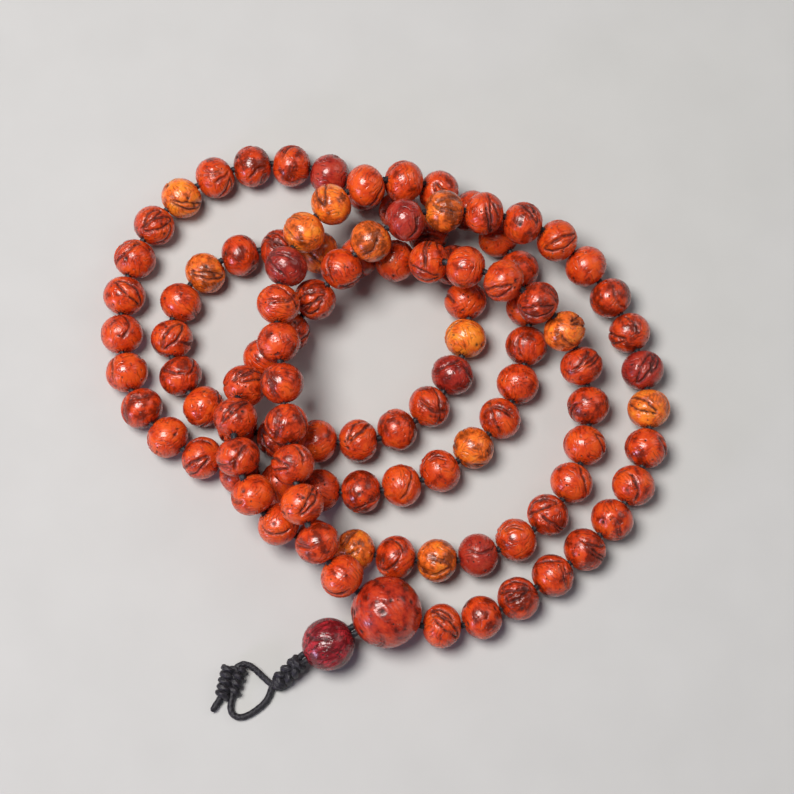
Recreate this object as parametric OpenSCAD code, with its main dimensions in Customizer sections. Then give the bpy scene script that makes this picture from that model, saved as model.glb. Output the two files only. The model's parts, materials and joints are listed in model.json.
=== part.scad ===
// Mala prayer beads, in millimetres, lying on a flat surface.
// 108 beads on one closed cord, a guru bead where the two ends of the cord meet, a tower bead
// behind it, and a short tail with a stopper knot, a loop and an end knot.
// X runs to the right, Y runs away from the tail, Z points up, and the surface is at z = 0.

/* [Beads] */
// Diameter of a bead across its hole
bead_d = 10; // [9.6:0.1:10]
// Length of a bead along its hole
bead_len = 8.6; // [8:0.1:8.6]
// Diameter of the hole through a bead
bead_hole_d = 1.7; // [1.6:0.1:2]

/* [Head beads] */
// Diameter of the guru bead
guru_d = 16; // [15:0.1:16]
// Diameter of the tower bead
tower_d = 12; // [11:0.1:12]
// Space between the guru bead and the tower bead
tower_gap = 0.6; // [0.6:0.1:1]
// Diameter of the hole that the pair of cords leaves the guru bead by
tail_hole_d = 3.2; // [3.2:0.1:3.4]
// Diameter of the hollow inside the guru bead, where the cord ends turn
chamber_d = 5.4; // [5.2:0.1:5.6]

/* [Cord and knots] */
// Diameter of the cord
cord_d = 1.5; // [1.4:0.1:1.5]
// Diameter of the stopper knot
knot_d = 4.6; // [4:0.1:4.6]
// Distance between the middles of the stopper knot's two round ends
knot_len = 3.8; // [3:0.1:4.4]
// Diameter of the large lobe of the end knot
lobe_d = 3.6; // [3.2:0.1:3.8]
// Diameter of the small lobe of the end knot
small_lobe_d = 3; // [2.6:0.1:3.2]

/* [Hidden] */
bead_count = 108;
singles = [each [1:24], each [85:108]];                      // the beads that are nodes of their own
groups = [[25, 36], [37, 48], [49, 60], [61, 72], [73, 84]]; // first and last bead of each group
function digits(k) = str(k < 100 ? "0" : "", k < 10 ? "0" : "", k);
function bead_name(k) = str("bead_", digits(k));
function group_name(ends) = str("beads_", digits(ends[0]), "_", digits(ends[1]));

// Where the model's own origin is among the places below
middle = [-0.64, -1.42, 0];

// The way the strand lies, as the points that pull a smooth curve: out of the guru bead, once
// round the outside, then in overlapping loops and back to the guru bead
route = [
    [0, -49, 8], [12, -54, 5], [24, -49, 5], [37, -41, 5], [49, -31, 5],
    [58, -18, 5], [61, -3, 5], [58, 13, 5], [51, 27, 5], [43, 35, 9],
    [35, 39, 14], [26, 41, 16], [16, 42, 17], [7, 41, 19], [-2, 36, 18.5],
    [-10, 29, 15], [-17, 22, 10], [-23, 15, 6.5], [-30, 7, 8], [-34, -2, 15.5],
    [-34, -12, 17], [-32, -21, 16.5], [-27, -29, 11], [-18, -33, 5], [-5, -35, 5],
    [10, -38, 5], [24, -36, 5], [37, -28, 5], [45, -15, 5], [47, 0, 5],
    [44, 12, 7.5], [37, 19, 15], [29, 24, 17], [20, 28, 17], [12, 30, 16.5],
    [4, 32, 8.5], [-5, 34, 5], [-16, 36, 5], [-29, 37, 5], [-40, 34, 5],
    [-48, 26, 5], [-51, 15, 5], [-48, 5, 5], [-40, -5, 5], [-29, -8, 5],
    [-15, -10, 5], [-1, -10, 5], [10, -3, 5], [17, 8, 5], [20, 20, 5],
    [17, 32, 5], [9, 42, 5], [-2, 50, 5], [-14, 56, 5], [-28, 59, 5],
    [-42, 55, 5], [-54, 45, 5], [-60, 33, 5], [-62, 19, 5], [-60, 5, 5],
    [-54, -7, 5], [-42, -14, 5], [-28, -19, 5], [-12, -22, 5], [4, -21, 5],
    [18, -14, 5], [29, -2, 5], [33, 13, 5], [33, 28, 5], [27, 40, 5],
    [19, 47, 5], [10, 50, 12.5], [-1, 50, 17.5], [-11, 46, 16], [-18, 39, 16],
    [-23, 30, 17], [-25, 20, 17], [-24, 9, 19], [-23, -1, 18], [-22, -11, 16],
    [-20, -21, 18], [-18, -30, 18], [-14, -38, 16], [-8, -44, 11], [0, -49, 8]
];
curve_steps = 12; // points of the curve for each pair of route points

// A point of the smooth curve that four route points in a row pull, with t from 0 to 1
function pulled(a, b, c, d, t) =
    (pow(1 - t, 3) * a + (3 * pow(t, 3) - 6 * t * t + 4) * b
    + (3 * t * (1 + t - t * t) + 1) * c + pow(t, 3) * d) / 6;

// The smooth curve of a list of points, which starts and ends at its first and last point
function smooth(points) =
    let (last = len(points) - 1)
    let (ends = [2 * points[0] - points[1], 2 * points[last] - points[last - 1]])
    let (all = [ends[0], each points, ends[1]])
    [
        for (i = [0:last - 1], k = [0:curve_steps - 1])
            pulled(all[i], all[i + 1], all[i + 2], all[i + 3], k / curve_steps),
        points[last]
    ];

// The distance along a line of points to each of them
function distances(line) =
    [for (i = 0, s = 0; i < len(line); i = i + 1, s = s + norm(line[min(i, len(line) - 1)] - line[i - 1])) s];

curve = smooth(route);
run = distances(curve);
curve_tables = [for (axis = [0:2]) [for (i = [0:len(curve) - 1]) [run[i], curve[i][axis]]]];
function curve_at(s) = [for (table = curve_tables) lookup(s, table)];

// The bends of the cord: one before each bead and one after the last
guru_reach = guru_d / 2 + 0.35; // distance along the cord from the guru bead's middle to the first bend
pitch = (run[len(run) - 1] - 2 * guru_reach) / bead_count;
bends = [for (k = [0:bead_count]) curve_at(guru_reach + k * pitch)];

// The guru bead, the tower bead and the tail lie in a line that slopes down to the surface
guru = route[0];
tail_heading = 208;
tower_step = (guru_d + tower_d) / 2 + tower_gap;
tail_slope = asin((guru_d - tower_d) / 2 / tower_step);
tail_dir = pointing(tail_heading, tail_slope);
tail_side = pointing(tail_heading + 90, 0);
tower = guru + tower_step * tail_dir;
lift_pivot = guru + (guru_d / 2 + tower_gap / 2) * tail_dir;
swing_pivot = tower + (tower_d / 2 + 0.2) * tail_dir;
pair_side = cord_d / 2 + 0.03; // half the distance between the pair of cords

// The stopper knot
knot_heading = 222;
knot_step = knot_d / 2 + 0.6; // distance from the swing pivot to the middle of the knot's near end
knot_slope = asin((swing_pivot[2] - knot_d / 2 - 0.05) / (knot_step + knot_len));
knot_dir = pointing(knot_heading, knot_slope);
knot_near = swing_pivot + knot_step * knot_dir;
knot_far = knot_near + knot_len * knot_dir;
loop_side = pair_side + 0.05; // half the distance between the two strands where they leave the knot
loop_step = sqrt(pow((knot_d + cord_d) / 2 + 0.1, 2) - pow(loop_side, 2));
loop_pivot = knot_far + loop_step * knot_dir;
knot_side = pointing(knot_heading + 90, 0);

// The tail loop: out from the stopper knot, round its tip, up through the end knot and back
loop_route = [
    loop_pivot + loop_side * knot_side, [-26, -67.4, 0.9], [-29, -70, 0.8], [-32.4, -71.8, 0.8],
    [-34.8, -70.2, 0.8], [-34.2, -67, 1.2], [-33.6, -64, 1.8], [-34, -61, 1.8],
    [-32, -59.2, 1.8], [-29.6, -60.2, 1.5], [-27.6, -62.2, 1.1], loop_pivot - loop_side * knot_side
];

// The end knot's large lobe, its small lobe and its cut end, each from one end to the other
large_lobe = [[-35.2, -61.4, lobe_d / 2], [-36.2, -66.2, lobe_d / 2]];
small_lobe = [[-32.6, -61.6, lobe_d / 2], [-33.8, -65.8, small_lobe_d / 2]];
cut_end = [[-36.2, -66.2, 1.4], [-38.2, -69.4, 1]];

// A direction with a compass heading and a downward slope
function pointing(heading, slope) =
    [cos(heading) * cos(slope), sin(heading) * cos(slope), -sin(slope)];
function unit(v) = v / norm(v);

// The ring of points round a cord where it turns from direction a to direction b, with its
// middle at p. The ring lies in the plane that halves the turn, and size narrows it.
cord_sides = 8;
function ring(p, a, b, size = 1) =
    let (t = unit(a + b))
    let (side = unit(cross(t, [0, 0, 1])))
    let (up = cross(side, t))
    let (turn = b - a)
    let (across = norm(turn) < 0.001 ? side : unit(turn))
    let (stretch = 1 / (norm(a + b) / 2) - 1)
    [
        for (k = [0:cord_sides - 1])
            let (angle = 360 * (k + 0.5) / cord_sides)
            let (out = size * cord_d / 2 * (cos(angle) * side + sin(angle) * up))
            p + out + (out * across) * stretch * across
    ];

// A cord along a line of points, whose ends are flat, or domed with a ring at each angle of dome
module cord(line, dome = []) {
    last = len(line) - 1;
    ways = [for (i = [0:last - 1]) unit(line[i + 1] - line[i])];
    dome_in = [for (angle = dome) ring(line[0] - cord_d / 2 * sin(angle) * ways[0], ways[0], ways[0], cos(angle))];
    dome_out = [
        for (i = [len(dome) - 1:-1:0])
            ring(line[last] + cord_d / 2 * sin(dome[i]) * ways[last - 1], ways[last - 1], ways[last - 1], cos(dome[i]))
    ];
    middle_rings = [for (i = [0:last]) ring(line[i], ways[max(i - 1, 0)], ways[min(i, last - 1)])];
    tube([each dome_in, each middle_rings, each dome_out]);
}

// A closed solid through a list of rings
module tube(rings) {
    last = (len(rings) - 1) * cord_sides;
    sides = [
        for (low = [0:cord_sides:last - 1], k = [0:cord_sides - 1])
            let (next = (k + 1) % cord_sides)
            each [
                [low + k, low + next, low + cord_sides + next],
                [low + k, low + cord_sides + next, low + cord_sides + k]
            ]
    ];
    start = [for (k = [1:cord_sides - 2]) [0, k + 1, k]];
    end = [for (k = [1:cord_sides - 2]) [last, last + k, last + k + 1]];
    polyhedron([for (r = rings) each r], [each start, each sides, each end]);
}

// Turns what follows, made along Z, to lie along a direction at a place
module lying(place, direction) {
    translate(place)
        rotate([0, acos(direction[2] / norm(direction)), atan2(direction[1], direction[0])])
            children();
}

// A round hole from one place to another
module hole(from, to, d) {
    lying(from, to - from) cylinder(d = d, h = norm(to - from), $fn = 32);
}

// A bead whose hole runs along Z: rounded sides, a little shorter than it is wide
module bead_shape() {
    difference() {
        rotate_extrude($fn = 48) {
            intersection() {
                translate([(bead_d - bead_len) / 2, 0]) circle(d = bead_len, $fn = 48);
                translate([0, -bead_len]) square(2 * bead_len);
            }
        }
        cylinder(d = bead_hole_d, h = 2 * bead_len, center = true, $fn = 32);
    }
}

// Bead number k, which hangs between two bends of the cord
module bead(k) {
    lying((bends[k - 1] + bends[k]) / 2, bends[k] - bends[k - 1]) bead_shape();
}

module single_bead(k) {
    color([0.80, 0.27, 0.12]) translate(-middle) bead(k);
}

module bead_group(ends) {
    color([0.78, 0.25, 0.11]) translate(-middle) for (k = [ends[0]:ends[1]]) bead(k);
}

// One end of the strand's cord inside the guru bead: from its flat end, just short of the tail's cord,
// to where it turns
function cord_end(side) = lift_pivot - (cord_d / 2 + 0.15) * tail_dir + side * pair_side * tail_side;
function first_turn(bend) = guru + 1.6 * unit(bend - guru);
function second_turn(side) = guru + 1.2 * tail_dir + side * pair_side * tail_side;

module strand_cord() {
    color([0.05, 0.05, 0.06])
        translate(-middle)
            cord([
                cord_end(1), second_turn(1), each bends,
                first_turn(bends[bead_count]), second_turn(-1), cord_end(-1)
            ]);
}

// The guru bead, with a hole for each end of the strand and a wider one for the tail
module guru_bead() {
    color([0.76, 0.24, 0.10])
        translate(-middle)
            difference() {
                translate(guru) sphere(d = guru_d, $fn = 64);
                translate(guru) sphere(d = chamber_d, $fn = 32);
                hole(second_turn(1), 2 * bends[0] - second_turn(1), bead_hole_d);
                hole(guru, guru + guru_d * unit(bends[bead_count] - guru), bead_hole_d);
                hole(guru, guru + guru_d * tail_dir, tail_hole_d);
            }
}

module tower_bead() {
    color([0.42, 0.10, 0.09])
        translate(-middle)
            difference() {
                translate(tower) sphere(d = tower_d, $fn = 64);
                hole(tower - tower_d * tail_dir, tower + tower_d * tail_dir, tail_hole_d);
            }
}

// A round bar of a length with a half ball on each end, which starts at a place and lies along a direction
module capsule(place, direction, d, long) {
    lying(place, direction)
        rotate_extrude($fn = 32) {
            square([d / 2, long]);
            intersection() {
                circle(d = d, $fn = 32);
                translate([0, -d]) square(d);
            }
            translate([0, long])
                intersection() {
                    circle(d = d, $fn = 32);
                    square(d);
                }
        }
}

// The pair of cords through the tower bead, which hinges where it leaves the guru bead
module tail_cord() {
    pair_len = norm(swing_pivot - lift_pivot) - 0.2 - cord_d / 2;
    color([0.05, 0.05, 0.06])
        translate(-middle)
            for (side = [-1, 1])
                capsule(lift_pivot + side * pair_side * tail_side, tail_dir, cord_d, pair_len);
}

// The stopper knot, which the tower bead can't slide over
module tail_knot() {
    color([0.06, 0.06, 0.07]) translate(-middle) capsule(knot_near, knot_dir, knot_d, knot_len);
}

module tail_loop() {
    color([0.05, 0.05, 0.06]) translate(-middle) cord(smooth(loop_route), dome = [60, 30]);
}

// A lobe of the end knot, from the middle of one round end to the middle of the other
module lobe(ends, near_d, far_d) {
    hull() {
        translate(ends[0]) sphere(d = near_d, $fn = 24);
        translate(ends[1]) sphere(d = far_d, $fn = 24);
    }
}

module end_knot() {
    color([0.06, 0.06, 0.07])
        translate(-middle) {
            lobe(large_lobe, lobe_d, lobe_d);
            lobe(small_lobe, lobe_d, small_lobe_d);
            lobe(cut_end, 2.2, cord_d);
        }
}

strand_cord();
guru_bead();
tower_bead();
tail_cord();
tail_knot();
tail_loop();
end_knot();
for (k = singles) single_bead(k);
for (ends = groups) bead_group(ends);
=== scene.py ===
"""Mala prayer beads: the seed beads, head beads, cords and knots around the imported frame."""

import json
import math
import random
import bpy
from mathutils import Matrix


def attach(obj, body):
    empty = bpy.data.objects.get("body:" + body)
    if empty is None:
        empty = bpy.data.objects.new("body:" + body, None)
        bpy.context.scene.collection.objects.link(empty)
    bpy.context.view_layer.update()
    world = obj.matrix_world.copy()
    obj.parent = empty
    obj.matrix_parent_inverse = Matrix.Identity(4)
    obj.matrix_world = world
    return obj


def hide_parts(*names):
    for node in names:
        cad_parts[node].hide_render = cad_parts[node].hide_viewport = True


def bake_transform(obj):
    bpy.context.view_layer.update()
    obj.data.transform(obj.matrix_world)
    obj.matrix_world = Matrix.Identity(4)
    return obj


bl_info = {
    "name": "Mala Prayer Beads",
    "version": (1, 0, 0),
    "blender": (4, 5, 0),
    "location": "3D View > Sidebar > Mala",
    "description": "Carved-looking seed beads, a guru bead, a tower bead and a knotted cord tail",
    "category": "Object",
}

import bpy
import numpy as np
from mathutils import Matrix, Vector

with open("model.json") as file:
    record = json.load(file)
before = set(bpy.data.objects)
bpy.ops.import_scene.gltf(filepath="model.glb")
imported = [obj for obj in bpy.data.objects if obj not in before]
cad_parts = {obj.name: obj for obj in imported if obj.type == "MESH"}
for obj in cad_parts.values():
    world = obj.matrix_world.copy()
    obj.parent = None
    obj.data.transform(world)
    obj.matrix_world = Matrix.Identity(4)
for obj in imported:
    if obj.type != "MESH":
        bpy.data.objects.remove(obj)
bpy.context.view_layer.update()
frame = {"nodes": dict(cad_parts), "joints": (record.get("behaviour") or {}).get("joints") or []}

MM = 0.001
BEAD_COUNT = 108
SHAPE_COUNT = 9

# The beads that are lighter or darker than the rest, counted from the guru bead
AMBER_BEADS = (9, 17, 19, 30, 32, 40, 47, 50, 62, 72, 87, 98, 99)
DARK_BEADS = (10, 18, 33, 61, 68, 100)

# Radii and gaps in millimetres
GURU_RADIUS = 8.0
TOWER_RADIUS = 6.0
SEED_HOLE_RADIUS = 0.9
CORD_HOLE_RADIUS = 0.85
TAIL_HOLE_RADIUS = 1.6
GURU_TO_SEED = 0.35
SEED_TO_SEED = 0.12
PAIR_GAP = 0.06

# The cords' braid: strands round it, radians of lay for each millimetre, and yarns in a strand's turn
BRAID_STRANDS = 3
BRAID_LAY = 4.2
YARNS_ROUND = 4

# A groove's two distances and its strength where there is none
NO_GROOVE = (9.0, 9.0, 0.0)

# The way the strand lies, in millimetres: the points that pull its smooth curve
ROUTE_MIDDLE = np.array((-0.64, -1.42, 0.0))
ROUTE = (
    (0, -49, 8), (12, -54, 5), (24, -49, 5), (37, -41, 5), (49, -31, 5),
    (58, -18, 5), (61, -3, 5), (58, 13, 5), (51, 27, 5), (43, 35, 9),
    (35, 39, 14), (26, 41, 16), (16, 42, 17), (7, 41, 19), (-2, 36, 18.5),
    (-10, 29, 15), (-17, 22, 10), (-23, 15, 6.5), (-30, 7, 8), (-34, -2, 15.5),
    (-34, -12, 17), (-32, -21, 16.5), (-27, -29, 11), (-18, -33, 5), (-5, -35, 5),
    (10, -38, 5), (24, -36, 5), (37, -28, 5), (45, -15, 5), (47, 0, 5),
    (44, 12, 7.5), (37, 19, 15), (29, 24, 17), (20, 28, 17), (12, 30, 16.5),
    (4, 32, 8.5), (-5, 34, 5), (-16, 36, 5), (-29, 37, 5), (-40, 34, 5),
    (-48, 26, 5), (-51, 15, 5), (-48, 5, 5), (-40, -5, 5), (-29, -8, 5),
    (-15, -10, 5), (-1, -10, 5), (10, -3, 5), (17, 8, 5), (20, 20, 5),
    (17, 32, 5), (9, 42, 5), (-2, 50, 5), (-14, 56, 5), (-28, 59, 5),
    (-42, 55, 5), (-54, 45, 5), (-60, 33, 5), (-62, 19, 5), (-60, 5, 5),
    (-54, -7, 5), (-42, -14, 5), (-28, -19, 5), (-12, -22, 5), (4, -21, 5),
    (18, -14, 5), (29, -2, 5), (33, 13, 5), (33, 28, 5), (27, 40, 5),
    (19, 47, 5), (10, 50, 12.5), (-1, 50, 17.5), (-11, 46, 16), (-18, 39, 16),
    (-23, 30, 17), (-25, 20, 17), (-24, 9, 19), (-23, -1, 18), (-22, -11, 16),
    (-20, -21, 18), (-18, -30, 18), (-14, -38, 16), (-8, -44, 11), (0, -49, 8),
)

# The tail loop's free stretch and the end knot's lobes, in millimetres
LOOP_ROUTE = (
    (-26, -67.4, 0.9), (-29, -70, 0.8), (-32.4, -71.8, 0.8), (-34.8, -70.2, 0.8),
    (-34.2, -67, 1.2), (-33.6, -64, 1.8), (-34, -61, 1.8), (-32, -59.2, 1.8),
    (-29.6, -60.2, 1.5), (-27.6, -62.2, 1.1),
)
LARGE_LOBE = ((-35.2, -61.4, 1.8), (-36.2, -66.2, 1.8))
SMALL_LOBE = ((-32.6, -61.6, 1.8), (-33.8, -65.8, 1.5))
CUT_END = ((-36.2, -66.2, 1.4), (-38.2, -69.4, 1.0))

# Painted shade: the near-black put in the seeds' pits, hollows and hole rims, and the dark red put in their
# grooves
PIT_SHADE_COLOUR = (0.014, 0.004, 0.003)
GROOVE_SHADE_COLOUR = (0.040, 0.006, 0.004)

# The lights: name, place, what it points at, diameter, power and colour
LIGHTS = (
    ("key", (-0.25, 0.04, 0.75), (0, 0, 0), 0.40, 7.4, (1.0, 0.97, 0.94)),
    ("window", (-0.66, -0.48, 0.20), (0, 0, 0.005), 0.16, 1.5, (0.74, 0.64, 1.0)),
    ("fill", (0.5, 0.25, 0.5), (0, 0, 0), 0.4, 0.5, (1.0, 0.98, 0.95)),
)
SKY_COLOUR = (0.80, 0.86, 1.0, 1)
SKY_STRENGTH = 0.13

# The camera: what it points at in millimetres, and its height in degrees, distance and lens
CAMERA_TARGET = (3.0, 1.5, 8.0)
CAMERA_ELEVATION = 75
CAMERA_DISTANCE = 0.45
CAMERA_LENS = 90


# ---------------------------------------------------------------- places


def unit(v):
    v = np.asarray(v, float)
    return v / np.linalg.norm(v)


def smooth_curve(points, steps=12):
    """The curve that a list of points pulls, which starts and ends at its first and last point."""
    p = np.asarray(points, float)
    p = np.vstack([2 * p[0] - p[1], p, 2 * p[-1] - p[-2]])
    curve = []
    for a, b, c, d in zip(p[:-3], p[1:-2], p[2:-1], p[3:]):
        for t in np.arange(steps) / steps:
            near = (1 - t) ** 3 * a + (3 * t**3 - 6 * t**2 + 4) * b
            curve.append((near + (3 * t * (1 + t - t**2) + 1) * c + t**3 * d) / 6)
    curve.append(p[-2])
    return np.array(curve)


def walked(path):
    """The distance along a path to each of its points."""
    return np.concatenate([[0], np.cumsum(np.linalg.norm(np.diff(path, axis=0), axis=1))])


def places_along(path, distances):
    run = walked(path)
    return np.array([np.interp(distances, run, path[:, axis]) for axis in range(3)]).T


def even_path(points, step, rounding=0):
    """A path with a point every step, whose corners are rounded by so many passes."""
    path = np.asarray(points, float)
    length = walked(path)[-1]
    path = places_along(path, np.linspace(0, length, max(2, round(length / step)) + 1))
    for _ in range(rounding):
        path[1:-1] = (path[:-2] + 2 * path[1:-1] + path[2:]) / 4
    return path


def joint(name):
    return next(j for j in frame["joints"] if j["name"] == name)


def joint_place(name):
    """A joint's place in millimetres."""
    return np.array(joint(name)["pos_m"]) / MM


GURU = np.array(ROUTE[0], float) - ROUTE_MIDDLE
TOWER = joint_place("tower_spin")
TAIL_WAY = unit(joint("tower_spin")["axis"])
TAIL_SIDE = unit(np.cross(TAIL_WAY, (0, 0, 1)))
SWING_PIVOT = joint_place("knot_swing")
LOOP_PIVOT = joint_place("loop_lift")
KNOT_WAY = unit(LOOP_PIVOT - SWING_PIVOT)
KNOT_SIDE = unit(np.cross(KNOT_WAY, (0, 0, 1)))
KNOT_START = SWING_PIVOT + 0.7 * KNOT_WAY
KNOT_END = LOOP_PIVOT - 0.75 * KNOT_WAY


def strand_bends():
    """Where the cord bends: before each bead and after the last."""
    curve = smooth_curve(ROUTE) - ROUTE_MIDDLE
    reach = GURU_RADIUS + GURU_TO_SEED
    return places_along(curve, np.linspace(reach, walked(curve)[-1] - reach, BEAD_COUNT + 1))


BENDS = strand_bends()


def facing(way, turn=0.0):
    """The rotation that lays Z along a way, after a turn about Z."""
    return Vector(way).to_track_quat("Z", "Y").to_matrix().to_4x4() @ Matrix.Rotation(turn, 4, "Z")


def room_after(k):
    """The free length between bead k and the next, in millimetres, which is less where the cord bends."""
    if k in (0, BEAD_COUNT):
        return 0.0
    before, after = BENDS[k] - BENDS[k - 1], BENDS[k + 1] - BENDS[k]
    reach = (np.linalg.norm(before) + np.linalg.norm(after)) / 2
    half = math.acos(min(1.0, unit(before) @ unit(after))) / 2
    length = millimetres("bead_length")
    return reach * math.cos(half) - (millimetres("bead_diameter") - length) * math.sin(half) - length


def bead_matrix(k, turn):
    start, end = BENDS[k - 1], BENDS[k]
    return Matrix.Translation(Vector((start + end) / 2 * MM)) @ facing(end - start, turn)


# ---------------------------------------------------------------- settings


class MalaSizes(bpy.types.PropertyGroup):
    bead_diameter: bpy.props.FloatProperty(
        name="Bead diameter", description="Across the hole", subtype="DISTANCE", unit="LENGTH",
        default=10 * MM, min=9 * MM, max=10 * MM,
    )
    bead_length: bpy.props.FloatProperty(
        name="Bead length", description="Along the hole", subtype="DISTANCE", unit="LENGTH",
        default=8.6 * MM, min=8 * MM, max=8.6 * MM,
    )
    groove_depth: bpy.props.FloatProperty(
        name="Groove depth", description="Of the deepest groove on a seed", subtype="DISTANCE", unit="LENGTH",
        default=0.45 * MM, min=0, max=0.8 * MM,
    )
    cord_diameter: bpy.props.FloatProperty(
        name="Cord diameter", description="Of the black cord", subtype="DISTANCE", unit="LENGTH",
        default=1.5 * MM, min=1 * MM, max=1.5 * MM,
    )
    seed: bpy.props.IntProperty(
        name="Seed", description="Changes the grooves and the turn of every bead", default=7, min=0
    )


class MalaColours(bpy.types.PropertyGroup):
    orange_red: bpy.props.FloatVectorProperty(
        name="Orange red", description="Most of the seeds", subtype="COLOR", size=3,
        default=(0.61, 0.045, 0.006), min=0, max=1,
    )
    amber: bpy.props.FloatVectorProperty(
        name="Amber", description="The lighter seeds", subtype="COLOR", size=3,
        default=(0.86, 0.145, 0.016), min=0, max=1,
    )
    dark_red: bpy.props.FloatVectorProperty(
        name="Dark red", description="The darker seeds", subtype="COLOR", size=3,
        default=(0.38, 0.024, 0.014), min=0, max=1,
    )
    guru: bpy.props.FloatVectorProperty(
        name="Guru bead", description="The large bead", subtype="COLOR", size=3,
        default=(0.44, 0.026, 0.008), min=0, max=1,
    )
    tower: bpy.props.FloatVectorProperty(
        name="Tower bead", description="The maroon bead", subtype="COLOR", size=3,
        default=(0.30, 0.016, 0.023), min=0, max=1,
    )
    cord: bpy.props.FloatVectorProperty(
        name="Cord", description="Braided cord", subtype="COLOR", size=3,
        default=(0.007, 0.006, 0.009), min=0, max=1,
    )


def millimetres(size):
    """A size from the sidebar, in millimetres."""
    return getattr(bpy.context.scene.mala_sizes, size) / MM


def random_start():
    """The number that every random choice starts from."""
    return bpy.context.scene.mala_sizes.seed


def colours():
    return bpy.context.scene.mala_colours


# ---------------------------------------------------------------- materials


class NodeNet:
    """The nodes of one material or node group, and the links between them."""

    def __init__(self, tree):
        self.nodes, self.links = tree.nodes, tree.links

    def feed(self, value, socket):
        """Links an output to a socket, or sets the socket to a value."""
        if isinstance(value, bpy.types.NodeSocket):
            self.links.new(value, socket)
        else:
            socket.default_value = value

    def add(self, kind, **values):
        """A node with its settings, and its inputs by name where a value starts with in_."""
        node = self.nodes.new(kind)
        for name, value in values.items():
            if name.startswith("in_"):
                self.feed(value, node.inputs[name[3:].replace("_", " ")])
            else:
                setattr(node, name, value)
        return node

    def ramp(self, source, *stops):
        """A colour ramp over a value. A stop is (position, grey) or (position, (r, g, b))."""
        node = self.nodes.new("ShaderNodeValToRGB")
        elements = node.color_ramp.elements
        while len(elements) < len(stops):
            elements.new(0.5)
        for element, (position, colour) in zip(elements, stops):
            element.position = position
            element.color = (*colour, 1) if isinstance(colour, tuple) else (colour, colour, colour, 1)
        self.feed(source, node.inputs["Fac"])
        return node.outputs["Color"]

    def mixed(self, factor, a, b):
        """Two colours mixed. Each of factor, a and b is an output or a value."""
        node = self.nodes.new("ShaderNodeMix")
        node.data_type = "RGBA"
        for value, socket in zip((factor, a, b), (node.inputs[0], node.inputs[6], node.inputs[7])):
            self.feed((*value, 1) if isinstance(value, tuple) else value, socket)
        return node.outputs[2]

    def maths(self, operation, a, b=0.0, c=0.0, clamp=False):
        """A sum of outputs or values. MULTIPLY_ADD is the one that reads c."""
        node = self.nodes.new("ShaderNodeMath")
        node.operation = operation
        node.use_clamp = clamp
        for value, socket in zip((a, b, c), node.inputs):
            self.feed(value, socket)
        return node.outputs[0]


def new_material(name):
    material = bpy.data.materials.new(name)
    material.use_nodes = True
    return material, NodeNet(material.node_tree), material.node_tree.nodes["Principled BSDF"]


def new_group(name, inputs, outputs):
    """A node group, the net in it, its input node and its output node. Inputs are (name, kind, default)."""
    group = bpy.data.node_groups.new(name, "ShaderNodeTree")
    for label, kind, default in inputs:
        socket = group.interface.new_socket(label, in_out="INPUT", socket_type=f"NodeSocket{kind}")
        if default is not None:
            socket.default_value = default
    for label in outputs:
        group.interface.new_socket(label, in_out="OUTPUT", socket_type="NodeSocketFloat")
    net = NodeNet(group)
    return group, net, net.add("NodeGroupInput"), net.add("NodeGroupOutput")


def seed_grain_group():
    """A seed's skin: patches of fine wrinkles, each patch its own way, small pits, and mottling."""
    name = "seed_grain"
    if name in bpy.data.node_groups:
        return bpy.data.node_groups[name]
    inputs = (("Place", "Vector", None), ("Wrinkle Scale", "Float", 0.8))
    group, net, inside, outside = new_group(name, inputs, ("Wrinkles", "Pits", "Mottle"))
    where = inside.outputs["Place"]

    warp = net.add("ShaderNodeTexNoise", in_Vector=where, in_Scale=0.5, in_Detail=2.0).outputs["Color"]
    bend = net.add("ShaderNodeVectorMath", operation="MULTIPLY_ADD", in_Vector=warp)
    net.feed((1.6, 1.6, 1.6), bend.inputs[1])
    net.feed(where, bend.inputs[2])
    bent = bend.outputs["Vector"]
    patches = net.add("ShaderNodeTexVoronoi", in_Vector=bent, in_Scale=0.3).outputs["Color"]
    turn = net.add("ShaderNodeVectorMath", operation="SCALE", in_Vector=patches, in_Scale=6.28).outputs[0]
    turned = net.add("ShaderNodeVectorRotate", rotation_type="EULER_XYZ", in_Vector=bent, in_Rotation=turn)
    bands = net.add(
        "ShaderNodeTexWave", in_Vector=turned.outputs["Vector"], in_Scale=inside.outputs["Wrinkle Scale"],
        in_Distortion=2.6, in_Detail=2.0, in_Detail_Scale=0.8,
    )
    lines = net.ramp(bands.outputs["Fac"], (0.0, 1.0), (0.32, 0.0))
    cover = net.add("ShaderNodeTexNoise", in_Vector=where, in_Scale=0.42, in_Detail=2.0)
    covered = net.ramp(cover.outputs["Fac"], (0.42, 0.12), (0.58, 1.0))
    net.feed(net.maths("MULTIPLY", lines, covered), outside.inputs["Wrinkles"])

    spots = net.add("ShaderNodeTexVoronoi", in_Vector=where, in_Scale=0.62)
    round_spots = net.ramp(spots.outputs["Distance"], (0.07, 1.0), (0.16, 0.0))
    chosen = net.add("ShaderNodeSeparateColor", in_Color=spots.outputs["Color"])
    some = net.maths("GREATER_THAN", chosen.outputs[0], 0.45)
    net.feed(net.maths("MULTIPLY", round_spots, some), outside.inputs["Pits"])

    mottle = net.add("ShaderNodeTexNoise", in_Vector=where, in_Scale=0.34, in_Detail=5.0, in_Roughness=0.62)
    net.feed(mottle.outputs["Fac"], outside.inputs["Mottle"])
    return group


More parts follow.
